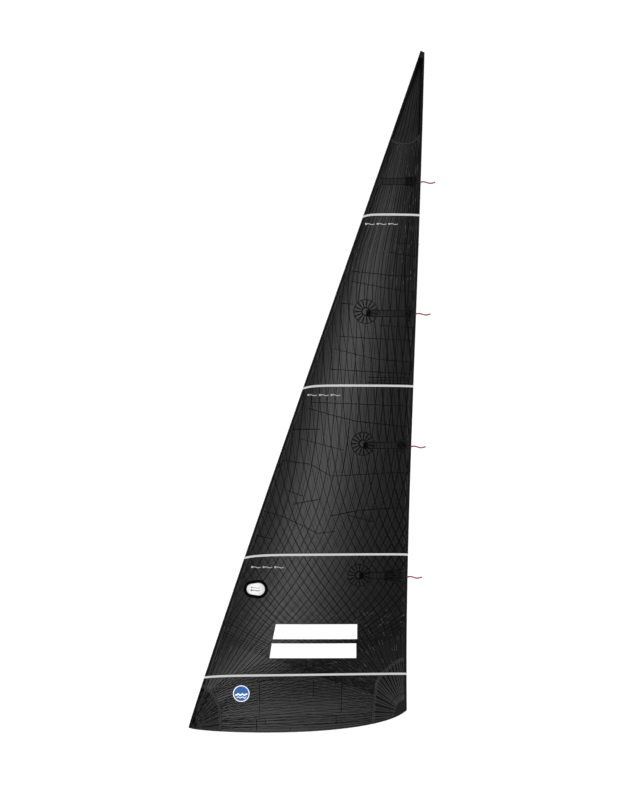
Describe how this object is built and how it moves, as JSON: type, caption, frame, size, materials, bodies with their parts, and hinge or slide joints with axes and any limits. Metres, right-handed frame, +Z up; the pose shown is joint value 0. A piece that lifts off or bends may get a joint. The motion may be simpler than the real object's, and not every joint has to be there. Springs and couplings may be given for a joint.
{
  "type": "battened racing jib sail",
  "caption": "Tall triangular headsail of moulded carbon laminate with corner patches, battens, a tell-tale window and leech ribbons, spread face up on the floor.",
  "frame": {"origin": "middle of the footprint, on the floor that the sail lies on", "axes": "+X aft from luff to leech, +Y from foot to head, +Z up off the floor"},
  "size_m": [4.936, 13.6382, 0.0937],
  "materials": {
    "laminate": "dark grey film laminate with black carbon strands, satin",
    "edge_tape": "black woven tape",
    "patch_cloth": "black layered laminate with stitched rays",
    "pocket_cloth": "dark grey woven band with stitched edges",
    "white_tape": "white sticky tape, matte",
    "white_ribbon": "white spinnaker cloth",
    "white_panel": "white sticky cloth, matte",
    "blue_badge": "blue and white sticky cloth",
    "red_ribbon": "dull red spinnaker cloth",
    "green_ribbon": "dull green spinnaker cloth",
    "clear_film": "clear polyester film"
  },
  "bodies": {
    "root": {"sail_cloth": "laminate", "luff_tape": "edge_tape", "leech_tape": "edge_tape", "head_patch": "patch_cloth", "tack_patch": "patch_cloth", "clew_patch": "patch_cloth", "clew_pad": "patch_cloth", "batten_pocket_1": "pocket_cloth", "batten_pocket_2": "pocket_cloth", "batten_pocket_3": "pocket_cloth", "batten_pocket_4": "pocket_cloth", "batten_end_1": "patch_cloth", "batten_end_2": "patch_cloth", "batten_end_3": "patch_cloth", "batten_end_4": "patch_cloth", "batten_roundel_1": "patch_cloth", "batten_roundel_2": "patch_cloth", "batten_roundel_3": "patch_cloth", "draft_stripe_foot": "white_tape", "draft_stripe_low": "white_tape", "draft_stripe_middle": "white_tape", "draft_stripe_high": "white_tape", "telltale_1_1": "white_ribbon", "telltale_1_2": "white_ribbon", "telltale_1_3": "white_ribbon", "telltale_2_1": "white_ribbon", "telltale_2_2": "white_ribbon", "telltale_2_3": "white_ribbon", "telltale_3_1": "white_ribbon", "telltale_3_2": "white_ribbon", "telltale_3_3": "white_ribbon", "window_pane": "clear_film", "window_frame": "edge_tape", "window_telltale_near": "red_ribbon", "window_telltale_far": "green_ribbon", "name_panel_upper": "white_panel", "name_panel_lower": "white_panel", "round_badge": "blue_badge", "leech_ribbon_1": "red_ribbon", "leech_ribbon_2": "red_ribbon", "leech_ribbon_3": "red_ribbon", "leech_ribbon_4": "red_ribbon"}
  },
  "joints": []
}
